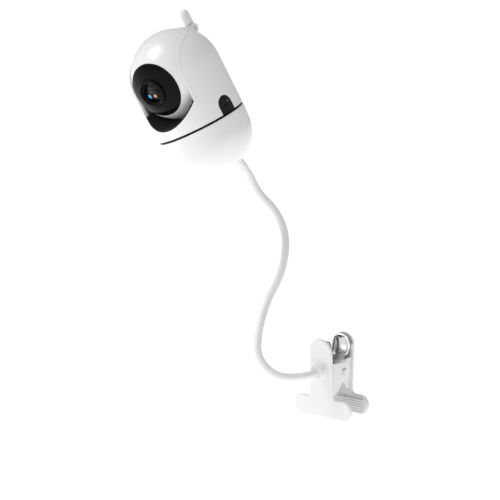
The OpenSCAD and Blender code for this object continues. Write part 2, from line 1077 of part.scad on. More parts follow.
module antenna() {
    color("#ececec")
        at_camera()
            translate([0, antenna_y, 0])
                difference() {
                    union() {
                        translate([0, 0, antenna_z + antenna_radius + 0.9])
                            cylinder(r = antenna_radius,
                                h = antenna_tip - antenna_z - 2 * antenna_radius - 0.9);
                        translate([0, 0, antenna_tip - antenna_radius])
                            sphere(r = antenna_radius, $fn = 48);
                        translate([0, 0, antenna_z])
                            bar_x(antenna_radius - 0.1, -tongue_half, tongue_half);
                        translate([-tongue_half, -antenna_radius + 0.1, antenna_z])
                            cube([2 * tongue_half, 2 * antenna_radius - 0.2,
                                antenna_radius + 1.2]);
                    }
                    translate([0, 0, antenna_z])
                        bar_x(hinge_radius + running, -over - 2, over + 2);
                    translate([0, 0, antenna_z + 3])
                        cylinder(r = 0.8, h = antenna_core_top - antenna_z - 3);
                }
}

module antenna_core() {
    color("#c8a45a")
        at_camera()
            translate([0, antenna_y, antenna_z + 3])
                cylinder(r = 0.8, h = antenna_core_top - antenna_z - 3);
}

// --------------------------------------------------------------------- eye

module eye_shell() {
    hollow = eye_radius - eye_wall;
    color("#f7f7f7")
        at_eye()
            difference() {
                intersection() {
                    sphere(r = eye_radius, $fn = 180);
                    translate([-eye_half_width, -face_plane, -40])
                        cube([2 * eye_half_width, face_plane + eye_split, 80]);
                }
                intersection() {
                    sphere(r = hollow, $fn = 120);
                    translate([-eye_half_width + eye_wall, -face_plane + eye_wall, -40])
                        cube([2 * (eye_half_width - eye_wall), 80, 80]);
                }
                facing_front(face_plane - 5)
                    cylinder(r = lens_ring_radius + 2, h = 10);
                for (side = [-1, 1])
                    translate([side * 15.5, 0, 0])
                        facing_front(face_plane - 3)
                            cylinder(r = 1.9, h = 4);
                translate([-2.5, 0, 16])
                    facing_front(face_plane - 3)
                        cylinder(r = 1.5, h = 4);
                bar_x(shaft_radius + running, -40, 40);
            }
}

module eye_cover() {
    hollow = eye_radius - eye_wall;
    color("#f7f7f7")
        at_eye()
            difference() {
                intersection() {
                    sphere(r = eye_radius, $fn = 180);
                    translate([-eye_half_width, eye_split + 0.05, -40])
                        cube([2 * eye_half_width, 20, 80]);
                }
                intersection() {
                    sphere(r = hollow, $fn = 120);
                    translate([-eye_half_width + eye_wall, 0, -40])
                        cube([2 * (eye_half_width - eye_wall), 80, 80]);
                }
            }
}

module face_disc() {
    dome = face_dome;
    rim = 1.0;
    rise = dome - sqrt(dome * dome - face_radius * face_radius);
    color("#0a0a0a")
        at_eye()
            facing_front(face_plane)
                difference() {
                    intersection() {
                        cylinder(r = face_radius, h = rim + rise, $fn = 120);
                        translate([0, 0, rim + rise - dome])
                            sphere(r = dome, $fn = 240);
                    }
                    translate([0, 0, -over])
                        cylinder(r = lens_ring_radius - 1, h = 10);
                    for (side = [-1, 1])
                        translate([side * 15.5, 0, -over])
                            cylinder(r = 2, h = 1.9);
                    translate([-2.5, 16, -over])
                        cylinder(r = 1.6, h = 1.9);
                }
}

module lens_ring() {
    color("#0c0c0c")
        at_eye()
            facing_front(face_plane - 2 + lens_lift)
                difference() {
                    union() {
                        cylinder(r = lens_ring_radius - 1, h = 5.5);
                        translate([0, 0, 5.1])
                            cylinder(r1 = lens_ring_radius, r2 = lens_ring_radius - 1.2, h = 1.6);
                    }
                    translate([0, 0, -over])
                        cylinder(r = 8.2, h = 6.2);
                    translate([0, 0, 5.1])
                        cylinder(r1 = 8.2, r2 = 9.6, h = 1.7);
                }
}

module front_glass() {
    color("#30343a")
        at_eye()
            facing_front(face_plane - 2 + lens_lift)
                translate([0, 0, 2.4])
                    intersection() {
                        cylinder(r = 8.15, h = 3.2);
                        translate([0, 0, -17])
                            sphere(r = 20, $fn = 120);
                    }
}

module lens_barrel() {
    color("#161616")
        at_eye()
            facing_front(face_plane - 11)
                difference() {
                    union() {
                        cylinder(r = 7, h = 8.6 + lens_lift);
                        translate([0, 0, 8.6 + lens_lift])
                            cylinder(r = 8.1, h = 2.6);
                    }
                    translate([0, 0, -over])
                        cylinder(r = 3.2, h = 8);
                    translate([0, 0, 5])
                        cylinder(r1 = 3.2, r2 = 6.6, h = 6.3 + lens_lift);
                }
}

module lens_holder() {
    color("#202022")
        at_eye()
            facing_front(5)
                difference() {
                    union() {
                        translate([-10, -9, 0])
                            cube([20, 18, 5.4]);
                        translate([0, 0, 5.4])
                            cylinder(r = 8.6, h = 5.4);
                    }
                    translate([0, 0, 5.2])
                        cylinder(r = 7, h = 9);
                    translate([0, 0, -over])
                        cylinder(r = 4, h = 9);
                    translate([-9.3, -5, 2])
                        cube([18.6, 10, 1.4]);
                }
}

module ir_filter() {
    color("#7fa8c8")
        at_eye()
            facing_front(5)
                translate([-4.6, -4.7, 2.3])
                    cube([9.2, 9.4, 0.8]);
}

module sensor_board() {
    color("#1d6b3c")
        at_eye()
            facing_front(3.3) {
                translate([-16, -14, 0])
                    cube([32, 28, 1.6]);
                translate([-3, -3, 1.6])
                    cube([6, 6, 0.7]);
            }
}

module ir_leds() {
    color("#2b2b30")
        at_eye()
            for (side = [-1, 1])
                translate([side * 15.5, 0, 0])
                    facing_front(face_plane - 0.9) {
                        cylinder(r = 1.8, h = 1.2);
                        translate([0, 0, -1.4])
                            cylinder(r = 1.2, h = 1.4);
                    }
}

module light_sensor() {
    color("#3a3030")
        at_eye()
            translate([-2.5, 0, 16])
                facing_front(face_plane - 0.9)
                    cylinder(r = 1.4, h = 1.2);
}

module microphone() {
    color("#8c8c90")
        at_eye()
            translate([10, 0, -12])
                facing_front(4.9)
                    cylinder(r = 2.2, h = 1.5);
}

module tilt_motor() {
    near_wall = -eye_half_width + eye_wall + 0.1;
    color("#b9babc")
        at_eye()
            difference() {
                union() {
                    bar_x(motor_radius, near_wall, near_wall + 8);
                    translate([near_wall, -3.2, -15.5])
                        cube([1.6, 6.4, 31]);
                    for (side = [-1, 1])
                        translate([0, 0, side * 15.5])
                            bar_x(3.2, near_wall, near_wall + 1.6);
                }
                bar_x(shaft_radius + running, near_wall - over, -19.5);
                for (side = [-1, 1])
                    translate([0, 0, side * 15.5])
                        bar_x(1.1, near_wall - over, near_wall + 3);
            }
}

module motor_screws() {
    near_wall = -eye_half_width + eye_wall + 0.1;
    color("#77777a")
        at_eye()
            for (side = [-1, 1])
                translate([0, 0, side * 15.5]) {
                    bar_x(1.1, near_wall, near_wall + 1.7);
                    bar_x(2.1, near_wall + 1.65, near_wall + 2.6);
                }
}

front_jaw();
front_pad();
rear_jaw();
rear_pad();
rear_finger_plate();
clamp_pin();
clamp_spring();
neck_ferrule();
ferrule_screw();
neck_sleeve_1();
neck_core_1();
neck_sleeve_2();
neck_core_2();
neck_sleeve_3();
neck_core_3();
neck_sleeve_4();
neck_core_4();
neck_collar();
mount_stud();
socket_insert();
base_cup();
base_deck();
deck_screws();
pan_motor();
main_board();
board_standoffs();
speaker();
power_inlet();
pan_shaft();
seam_ring();
pan_floor();
floor_screws();
outer_shell();
inner_bowl();
tilt_frame();
tilt_shaft();
tilt_pivot();
card_bay();
card_socket();
reset_button();
antenna_pin();
antenna();
antenna_core();
eye_shell();
eye_cover();
face_disc();
lens_ring();
front_glass();
lens_barrel();
lens_holder();
ir_filter();
sensor_board();
ir_leds();
light_sensor();
microphone();
tilt_motor();
motor_screws();
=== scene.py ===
import json
import math

import bmesh
import bpy
from mathutils import Matrix, Vector


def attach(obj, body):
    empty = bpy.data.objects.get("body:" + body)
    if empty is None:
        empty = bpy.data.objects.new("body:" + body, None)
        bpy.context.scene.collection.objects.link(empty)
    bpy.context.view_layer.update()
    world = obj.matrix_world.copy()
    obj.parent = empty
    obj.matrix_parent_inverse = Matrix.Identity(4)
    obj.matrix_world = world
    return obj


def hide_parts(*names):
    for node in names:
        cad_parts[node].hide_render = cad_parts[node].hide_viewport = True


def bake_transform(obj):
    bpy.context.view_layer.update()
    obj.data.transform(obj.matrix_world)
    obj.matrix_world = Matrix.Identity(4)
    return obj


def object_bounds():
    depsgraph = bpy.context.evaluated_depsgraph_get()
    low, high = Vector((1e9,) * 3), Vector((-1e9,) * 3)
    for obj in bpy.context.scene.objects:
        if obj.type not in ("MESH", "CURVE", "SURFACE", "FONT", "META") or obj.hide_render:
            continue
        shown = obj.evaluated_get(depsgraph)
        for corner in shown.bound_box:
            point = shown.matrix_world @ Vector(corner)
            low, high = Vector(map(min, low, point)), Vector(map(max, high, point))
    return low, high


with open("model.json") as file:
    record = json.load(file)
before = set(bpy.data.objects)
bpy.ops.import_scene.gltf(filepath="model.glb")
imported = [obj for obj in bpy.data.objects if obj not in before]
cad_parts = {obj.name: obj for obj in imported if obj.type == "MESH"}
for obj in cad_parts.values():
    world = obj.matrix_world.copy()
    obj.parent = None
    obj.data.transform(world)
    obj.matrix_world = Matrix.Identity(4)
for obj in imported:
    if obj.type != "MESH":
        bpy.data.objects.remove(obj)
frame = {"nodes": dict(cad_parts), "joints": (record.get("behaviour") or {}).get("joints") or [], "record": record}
cad_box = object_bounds()

MM = 0.001
JOINTS = {j["name"]: j for j in frame["joints"]}


# ---------------------------------------------------------------- the frame

def vec(values):
    return Vector([float(v) for v in values])


# the camera's own axes: origin at the dome's centre, X right, Y back, Z up
up = vec(JOINTS["pan"]["axis"]).normalized()
right = -vec(JOINTS["tilt"]["axis"]).normalized()
back = up.cross(right)
centre = vec(JOINTS["tilt"]["pos_m"])
HEAD = Matrix([
    [right.x, back.x, up.x, centre.x],
    [right.y, back.y, up.y, centre.y],
    [right.z, back.z, up.z, centre.z],
    [0, 0, 0, 1],
])
# the clamp's pin
PIN = vec(JOINTS["rear_jaw_open"]["pos_m"])
RAIL = 2 * PIN.y / MM
PIN_HEIGHT = PIN.z / MM
JAW_LEAN = 4.0
PLATE = 3.0


def rot(axis, degrees):
    return Matrix.Rotation(math.radians(degrees), 4, axis)


def shift(x, y, z):
    return Matrix.Translation((x, y, z))


MILLI = Matrix.Diagonal((MM, MM, MM, 1))
IN_HEAD = HEAD @ MILLI
AT_PIN = Matrix.Translation(PIN) @ MILLI
IN_FRONT_JAW = AT_PIN @ rot("X", JAW_LEAN)
IN_REAR_JAW = AT_PIN @ rot("X", -JAW_LEAN) @ Matrix.Diagonal((1, -1, 1, 1))
FORWARD = rot("X", 90)          # local Z becomes the front

# sizes of the clamp, the neck and the camera, in millimetres
PAD = 1.6
PLATE_OFFSET = PLATE / 2 + (RAIL / 2 + PAD
    + (PIN_HEIGHT - PLATE) * math.sin(math.radians(JAW_LEAN))) / math.cos(math.radians(JAW_LEAN))
PLATE_FACE = PLATE_OFFSET - PLATE / 2
PLATE_BACK = PLATE_OFFSET + PLATE / 2
BOSS_RISE = 3.0
BOSS_LENGTH = 7.0
NECK_R = 3.1
HEAD_R = 36.0
EYE_R = 34.6
EYE_HALF = 26.3
SLOT_HALF = 26.6
SLOT_REAR = -7.0
LIP_R = 34.0
FACE_R = 21.8
FACE_Y = math.sqrt(EYE_R ** 2 - FACE_R ** 2)
SHELL_Z = -41.15
CUP_Z = -42.85
CUP_END = -82.5
CORNER_R = 29.0
FLAT_R = HEAD_R - 0.5 - CORNER_R
CORNER_Z = CUP_END + CORNER_R
ANT_R = 3.7
ANT_Y = HEAD_R + ANT_R - 0.9
ANT_Z = 23.2
ANT_TIP = 39.6
LENS_LIFT = 3.1
BAY_TURN = -6.0
SOCKET_LEAN = 20.0
EYE_REST = 4.9                  # how far down the eye looks at rest
COLLAR = 12.0
# each bend of the neck: length, angle, and turn before it
BENDS = [
    (26.7, 39.1, 165.7),
    (38.5, 96.7, -45.8),
    (48.4, 23.1, -1.6),
    (38.3, 25.2, -179.3),
    (39.8, 53.5, 7.3),
    (19.6, 23.4, 134.7),
    (12.6, 23.9, -121.1),
]


# ---------------------------------------------------------------- materials

def material(name, colour, roughness, **options):
    """A principled material with fine bump and a little variation in gloss and colour."""
    m = bpy.data.materials.new(name)
    m.use_nodes = True
    nodes, links = m.node_tree.nodes, m.node_tree.links
    shader = nodes["Principled BSDF"]
    shader.inputs["Base Color"].default_value = (*colour, 1)
    shader.inputs["Roughness"].default_value = roughness
    shader.inputs["Metallic"].default_value = options.get("metallic", 0)
    shader.inputs["IOR"].default_value = options.get("ior", 1.5)
    shader.inputs["Coat Weight"].default_value = options.get("coat", 0)
    shader.inputs["Coat Roughness"].default_value = options.get("coat_roughness", 0.05)
    shader.inputs["Transmission Weight"].default_value = options.get("transmission", 0)
    shader.inputs["Subsurface Weight"].default_value = options.get("subsurface", 0)
    shader.inputs["Subsurface Scale"].default_value = 0.002
    shader.inputs["Sheen Weight"].default_value = options.get("sheen", 0)
    shader.inputs["Emission Color"].default_value = (*colour, 1)
    shader.inputs["Emission Strength"].default_value = options.get("glow", 0)
    place = nodes.new("ShaderNodeTexCoord")
    stretch = nodes.new("ShaderNodeMapping")
    stretch.inputs["Scale"].default_value = options.get("stretch", (1, 1, 1))
    links.new(place.outputs["Object"], stretch.inputs["Vector"])
    # broad, faint changes of tone and gloss, as handling leaves
    broad = nodes.new("ShaderNodeTexNoise")
    broad.inputs["Scale"].default_value = options.get("broad", 60)
    broad.inputs["Detail"].default_value = 4
    links.new(stretch.outputs["Vector"], broad.inputs["Vector"])
    tone = nodes.new("ShaderNodeMapRange")
    spread = options.get("gloss_spread", 0.06)
    tone.inputs["To Min"].default_value = max(roughness - spread, 0.02)
    tone.inputs["To Max"].default_value = roughness + spread
    links.new(broad.outputs["Fac"], tone.inputs["Value"])
    links.new(tone.outputs["Result"], shader.inputs["Roughness"])
    tint = nodes.new("ShaderNodeMix")
    tint.data_type = "RGBA"
    change = options.get("colour_spread", 0.03)
    tint.inputs["A"].default_value = (*[c * (1 - change) for c in colour], 1)
    tint.inputs["B"].default_value = (*[min(c * (1 + change), 1) for c in colour], 1)
    links.new(broad.outputs["Fac"], tint.inputs["Factor"])
    links.new(tint.outputs["Result"], shader.inputs["Base Color"])
    # the fine grain of the moulded, ground or woven surface
    grain = nodes.new("ShaderNodeTexNoise")
    grain.inputs["Scale"].default_value = options.get("grain", 2500)
    grain.inputs["Detail"].default_value = 3
    links.new(stretch.outputs["Vector"], grain.inputs["Vector"])
    bump = nodes.new("ShaderNodeBump")
    bump.inputs["Strength"].default_value = options.get("bump", 0.05)
    bump.inputs["Distance"].default_value = options.get("bump_depth", 0.0001)
    links.new(grain.outputs["Fac"], bump.inputs["Height"])
    links.new(bump.outputs["Normal"], shader.inputs["Normal"])
    return m


MATS = {
    "camera_plastic": material("camera_plastic", (0.86, 0.86, 0.865), 0.3, coat=0.25, coat_roughness=0.12,
        bump=0.03, gloss_spread=0.04, colour_spread=0.01),
    "clamp_plastic": material("clamp_plastic", (0.84, 0.84, 0.84), 0.36, coat=0.15, coat_roughness=0.2,
        bump=0.06, gloss_spread=0.06, colour_spread=0.012),
    "antenna_plastic": material("antenna_plastic", (0.84, 0.84, 0.845), 0.42, bump=0.08, grain=1800,
        colour_spread=0.012),
    "neck_rubber": material("neck_rubber", (0.85, 0.85, 0.85), 0.45, bump=0.1, grain=1400,
        colour_spread=0.015, coat=0.1, coat_roughness=0.3),
    "pad_rubber": material("pad_rubber", (0.72, 0.72, 0.71), 0.65, bump=0.3, grain=900),
    "polished_steel": material("polished_steel", (0.55, 0.55, 0.56), 0.16, metallic=1, bump=0.05,
        grain=700, stretch=(1, 1, 12), gloss_spread=0.05),
    "dark_steel": material("dark_steel", (0.16, 0.16, 0.17), 0.35, metallic=1, bump=0.1),
    "motor_steel": material("motor_steel", (0.62, 0.62, 0.64), 0.32, metallic=1, bump=0.12, grain=600),
    "aluminium": material("aluminium", (0.7, 0.7, 0.71), 0.38, metallic=1, bump=0.08),
    "brass": material("brass", (0.72, 0.52, 0.24), 0.3, metallic=1, bump=0.06),
    "inner_plastic": material("inner_plastic", (0.28, 0.28, 0.29), 0.5, bump=0.2, grain=1200),
    "board": material("board", (0.03, 0.2, 0.08), 0.4, bump=0.2, grain=500, broad=200, colour_spread=0.2),
    "black_gloss": material("black_gloss", (0.004, 0.004, 0.005), 0.08,
        bump=0.004, gloss_spread=0.02, ior=1.17),
    "black_matt": material("black_matt", (0.008, 0.008, 0.009), 0.45, bump=0.15, grain=1500, ior=1.3),
    "lens_glass": material("lens_glass", (0.9, 0.95, 1.0), 0.02, transmission=1, ior=1.12,
        bump=0.0, gloss_spread=0.005, colour_spread=0),
    "led_resin": material("led_resin", (0.03, 0.02, 0.03), 0.12, coat=0.6, bump=0.01),
    # two glowing coloured spots for the lens: painted teal and amber reflections with a painted glow
    "teal_painted_reflection": material("teal_painted_reflection", (0.03, 0.5, 0.8), 0.3, metallic=0.3, bump=0.0,
        gloss_spread=0.02, glow=0.12),
    "amber_painted_reflection": material("amber_painted_reflection", (0.9, 0.45, 0.15), 0.3, metallic=0.3, bump=0.0,
        gloss_spread=0.02, glow=0.08),
}


# ------------------------------------------------------------ making meshes

def new_object(name, bm, matrix):
    """Turns a bmesh, in millimetres, into an object in the shared frame."""
    bm.transform(matrix)
    if matrix.determinant() < 0:
        bmesh.ops.reverse_faces(bm, faces=bm.faces)
    mesh = bpy.data.meshes.new(name)
    bm.to_mesh(mesh)
    bm.free()
    obj = bpy.data.objects.new(name, mesh)
    bpy.context.collection.objects.link(obj)
    return obj


def lathe(profile, segments=128):
    """Revolves (radius, height) points about Z. The profile runs with its outside on the right."""
    bm = bmesh.new()
    rings = []
    for radius, height in profile:
        if radius < 1e-6:
            rings.append([bm.verts.new((0, 0, height))])
        else:
            rings.append([bm.verts.new((radius * math.cos(2 * math.pi * k / segments),
                radius * math.sin(2 * math.pi * k / segments), height)) for k in range(segments)])
    closed = profile[0] == profile[-1]
    if closed:
        for v in rings.pop():
            bm.verts.remove(v)
        rings.append(rings[0])
    for low, high in zip(rings, rings[1:]):
        for k in range(segments):
            n = (k + 1) % segments
            if len(low) == 1 and len(high) > 1:
                bm.faces.new((low[0], high[n], high[k]))
            elif len(high) == 1 and len(low) > 1:
                bm.faces.new((low[k], low[n], high[0]))
            elif len(low) > 1:
                bm.faces.new((low[k], low[n], high[n], high[k]))
    bmesh.ops.recalc_face_normals(bm, faces=bm.faces)
    return bm


def arc(cx, cy, radius, start, end, steps):
    """Points along an arc, with angles in degrees."""
    points = []
    for k in range(steps + 1):
        a = math.radians(start + (end - start) * k / steps)
        points.append((cx + radius * math.cos(a), cy + radius * math.sin(a)))
    return points


def slab(outline, thickness):
    """A flat closed outline in X and Y raised along Z."""
    bm = bmesh.new()
    low = [bm.verts.new((x, y, 0)) for x, y in outline]
    high = [bm.verts.new((x, y, thickness)) for x, y in outline]
    bm.faces.new(low)
    bm.faces.new(high)
    for k in range(len(outline)):
        n = (k + 1) % len(outline)
        bm.faces.new((low[k], low[n], high[n], high[k]))
    bmesh.ops.recalc_face_normals(bm, faces=bm.faces)
    return bm


def block(x0, x1, y0, y1, z0, z1):
    bm = slab([(x0, y0), (x1, y0), (x1, y1), (x0, y1)], z1 - z0)
    bmesh.ops.translate(bm, verts=bm.verts, vec=(0, 0, z0))
    return bm


def rod(radius, z0, z1, segments=48):
    return lathe([(0, z0), (radius, z0), (radius, z1), (0, z1)], segments)


def only(obj):
    for o in bpy.context.selected_objects:
        o.select_set(False)
    bpy.context.view_layer.objects.active = obj
    obj.select_set(True)


def apply_all(obj):
    only(obj)
    for m in list(obj.modifiers):
        bpy.ops.object.modifier_apply(modifier=m.name)


def combine(obj, others, operation):
    """Cuts away, or adds, closed bmeshes given with their matrices."""
    for bm, matrix in others:
        tool = new_object("tool", bm, matrix)
        m = obj.modifiers.new("cut", "BOOLEAN")
        m.object = tool
        m.operation = operation
        m.solver = "EXACT"
        apply_all(obj)
        bpy.data.objects.remove(tool)
    return obj


def cut(obj, *others):
    return combine(obj, others, "DIFFERENCE")


def add(obj, *others):
    return combine(obj, others, "UNION")


def soften(obj, width, segments=3, angle=32):
    """Rounds the sharp edges and shades the rest smooth. Width in millimetres."""
    bm = bmesh.new()
    bm.from_mesh(obj.data)
    bmesh.ops.remove_doubles(bm, verts=bm.verts, dist=0.004 * MM)
    bmesh.ops.dissolve_degenerate(bm, edges=bm.edges, dist=0.004 * MM)
    bm.to_mesh(obj.data)
    bm.free()
    if width:
        m = obj.modifiers.new("edges", "BEVEL")
        m.width = width * MM
        m.segments = segments
        m.limit_method = "ANGLE"
        m.angle_limit = math.radians(angle)
        m.harden_normals = False
        m.use_clamp_overlap = True
        m.miter_outer = "MITER_ARC"
        apply_all(obj)
    only(obj)
    bpy.ops.object.shade_smooth_by_angle(angle=math.radians(30))
    return obj


def finish_piece(obj, body, slot, *nodes, paint=None):
    obj.data.materials.clear()
    obj.data.materials.append(MATS[paint or slot])
    if nodes:
        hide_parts(*nodes)
    if body:
        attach(obj, body)
    return obj


# ----------------------------------------------------------- camera's shell

def dome_profile(radius, bottom, steps=48):
    """Half outline of a capsule's top: a straight side up to a round dome."""
    return [(radius, bottom), (radius, bottom * 0.5)] + arc(0, 0, radius, 0, 90, steps)


def edge_line(offset, radius, sides=8):
    """A thin bar along the surface of the head, beside the eyeball's gap."""
    w = SLOT_HALF + offset
    reach = math.sqrt(HEAD_R ** 2 - w ** 2)
    start = math.atan2(math.sqrt(reach ** 2 - SLOT_REAR ** 2), SLOT_REAR)
    path = [Vector((w, -reach, -20.5 + 2.05 * k)) for k in range(10)]
    path += [Vector((w, reach * math.cos(a), reach * math.sin(a)))
        for a in [math.pi + (start - math.pi) * k / 30 for k in range(31)]]
    for k in range(1, 48):
        a = math.pi * k / 48
        x, y = w * math.cos(a), SLOT_REAR + w * math.sin(a)
        path.append(Vector((x, y, math.sqrt(HEAD_R ** 2 - x * x - y * y))))
    path += [Vector((-p.x, p.y, p.z)) for p in reversed(path[:41])]
    bm = bmesh.new()
    rings = []
    for k, p in enumerate(path):
        along = (path[min(k + 1, len(path) - 1)] - path[max(k - 1, 0)]).normalized()
        out = Vector((p.x, p.y, max(p.z, 0))).normalized()
        out = (out - along * out.dot(along)).normalized()
        other = along.cross(out)
        rings.append([bm.verts.new(p + (out * math.cos(2 * math.pi * n / sides)
            + other * math.sin(2 * math.pi * n / sides)) * radius) for n in range(sides)])
    for low, high in zip(rings, rings[1:]):
        for n in range(sides):
            m = (n + 1) % sides
            bm.faces.new((low[n], low[m], high[m], high[n]))
    bm.faces.new(list(reversed(rings[0])))
    bm.faces.new(rings[-1])
    bmesh.ops.recalc_face_normals(bm, faces=bm.faces)
    return bm


def make_outer_shell():
    """The turning shell, with the eyeball's gap, the bay's arch and the antenna's arm."""
    edge = 0.35
    outer = [(HEAD_R - edge, SHELL_Z), (HEAD_R, SHELL_Z + edge)]
    outer += dome_profile(HEAD_R, SHELL_Z + 1)[:-1] + [(0, HEAD_R)]
    inner_r = HEAD_R - 1.9
    room = EYE_R + 0.3
    meet = -math.sqrt(room ** 2 - inner_r ** 2)
    inner = [(0, room)] + arc(0, 0, room, 90, math.degrees(math.asin(meet / room)), 60)[1:]
    inner += [(inner_r, SHELL_Z)]
    shell = new_object("outer_shell", lathe_ring(outer + inner, 192), IN_HEAD)
    add(shell, *antenna_fork())
    cutters = []
    # the gap that the eyeball turns in
    lip = math.degrees(math.asin(SLOT_HALF / LIP_R))
    window = [(SLOT_HALF, 0.02)] + [(SLOT_HALF, -LIP_R * math.cos(math.radians(lip)))]
    window += [(x, y) for x, y in arc(0, 0, LIP_R, -90 + lip, -90 - lip, 64)][1:-1]
    window += [(-SLOT_HALF, -LIP_R * math.cos(math.radians(lip))), (-SLOT_HALF, 0.02)]
    cutters.append((slab(window, 42), IN_HEAD @ FORWARD))
    top = [(-SLOT_HALF, -42), (SLOT_HALF, -42), (SLOT_HALF, SLOT_REAR)]
    top += arc(0, SLOT_REAR, SLOT_HALF, 0, 180, 72)[1:-1] + [(-SLOT_HALF, SLOT_REAR)]
    cutters.append((slab(top, 42), IN_HEAD @ shift(0, 0, -0.005)))
    # the arch of the card bay
    arch = [(7, SHELL_Z - 3)] + arc(0, SHELL_Z + 6.4, 7, 0, 180, 40) + [(-7, SHELL_Z - 3)]
    cutters.append((slab(arch, 15), ACROSS_BAY))
    cut(shell, *cutters)
    room_ball = bmesh.new()
    bmesh.ops.create_uvsphere(room_ball, u_segments=128, v_segments=64, radius=room - 0.02)
    cut(shell, (room_ball, IN_HEAD), (rod(1.05, -6, 6), IN_HEAD @ shift(0, ANT_Y, ANT_Z) @ rot("Y", 90)))
    soften(shell, 0.4, 4)
    # a fine moulded line beside the gap
    cut(shell, (edge_line(1.0, 0.36), IN_HEAD))
    soften(shell, 0)
    return finish_piece(shell, "camera_top", "camera_plastic", "outer_shell")


def lathe_ring(points, segments):
    """Revolves a closed outline about Z."""
    bm = bmesh.new()
    rings = []
    for radius, height in points:
        if radius < 1e-6:
            rings.append([bm.verts.new((0, 0, height))])
        else:
            rings.append([bm.verts.new((radius * math.cos(2 * math.pi * k / segments),
                radius * math.sin(2 * math.pi * k / segments), height)) for k in range(segments)])
    count = len(rings)
    for i in range(count):
        low, high = rings[i], rings[(i + 1) % count]
        if len(low) == 1 and len(high) == 1:
            continue
        for k in range(segments):
            n = (k + 1) % segments
            if len(low) == 1:
                bm.faces.new((low[0], high[n], high[k]))
            elif len(high) == 1:
                bm.faces.new((low[k], low[n], high[0]))
            else:
                bm.faces.new((low[k], low[n], high[n], high[k]))
    bmesh.ops.recalc_face_normals(bm, faces=bm.faces)
    return bm


def antenna_fork():
    """The arm at the back and its two ears, as bmeshes to join to the shell."""
    half = 3.9
    gap = 2.1
    side = [(29.2, ANT_Z - ANT_R)] + arc(ANT_Y, ANT_Z, ANT_R, -90, 90, 32) + [(24, ANT_Z + ANT_R)]
    arm = slab([(29.2, ANT_Z - ANT_R), (ANT_Y - ANT_R - 0.7, ANT_Z - ANT_R),
        (ANT_Y - ANT_R - 0.7, ANT_Z + ANT_R), (24, ANT_Z + ANT_R)], 2 * half)
    turn = rot("Y", 90) @ rot("Z", 90)
    parts = [(arm, IN_HEAD @ shift(-half, 0, 0) @ turn)]
    for x in (-half, gap):
        ear = slab(side, half - gap)
        parts.append((ear, IN_HEAD @ shift(x, 0, 0) @ turn))
    return parts


def make_cup():
    side = [(HEAD_R - 0.4, CUP_Z), (HEAD_R, CUP_Z - 0.4)]
    side += [(HEAD_R - 0.5 * t ** 2, CUP_Z - 0.4 + (CORNER_Z - CUP_Z + 0.4) * t) for t in (0.25, 0.5, 0.75, 1)]
    side += arc(FLAT_R, CORNER_Z, CORNER_R, 0, -90, 48)[1:] + [(0, CUP_END)]
    wall = 2.0
    inner = [(0, CUP_END + wall)] + arc(FLAT_R, CORNER_Z, CORNER_R - wall, -90, 0, 24)
    inner += [(HEAD_R - wall, CUP_Z)]
    cup = new_object("base_cup", lathe_ring(side + inner, 192), IN_HEAD)
    cut(cup, (block(-4.1, 4.1, 26, 40, -63.6, -60.4), IN_HEAD))
    soften(cup, 0.25)
    return finish_piece(cup, "camera_base", "camera_plastic", "base_cup")


def make_seam_ring():
    r = HEAD_R - 0.5
    ring = new_object("seam_ring", lathe_ring([(r - 4, CUP_Z + 0.3), (r - 0.25, CUP_Z + 0.3), (r, CUP_Z + 0.55),
        (r, SHELL_Z - 0.2), (r - 0.2, SHELL_Z), (r - 4, SHELL_Z)], 192), IN_HEAD)
    soften(ring, 0)
    return finish_piece(ring, "camera_top", "black_gloss", "seam_ring")


TO_FRONT = FORWARD
IN_EYE = IN_HEAD @ rot("X", EYE_REST)
ALONG_X = rot("Y", 90)
SENSOR_X, SENSOR_Z = -2.5, 16                     # the light sensor on the face
LIGHT_X = 15.5                                    # the infrared lights, one on each side
AT_SENSOR = IN_EYE @ shift(SENSOR_X, -FACE_Y, SENSOR_Z) @ TO_FRONT
IN_SOCKET = IN_HEAD @ shift(0, FLAT_R + CORNER_R * math.sin(math.radians(SOCKET_LEAN)),
    CORNER_Z - CORNER_R * math.cos(math.radians(SOCKET_LEAN))) @ rot("X", 180 + SOCKET_LEAN)
IN_BAY = IN_HEAD @ rot("Z", BAY_TURN)
ACROSS_BAY = IN_BAY @ shift(25, 0, 0) @ rot("Z", 90) @ rot("X", 90)


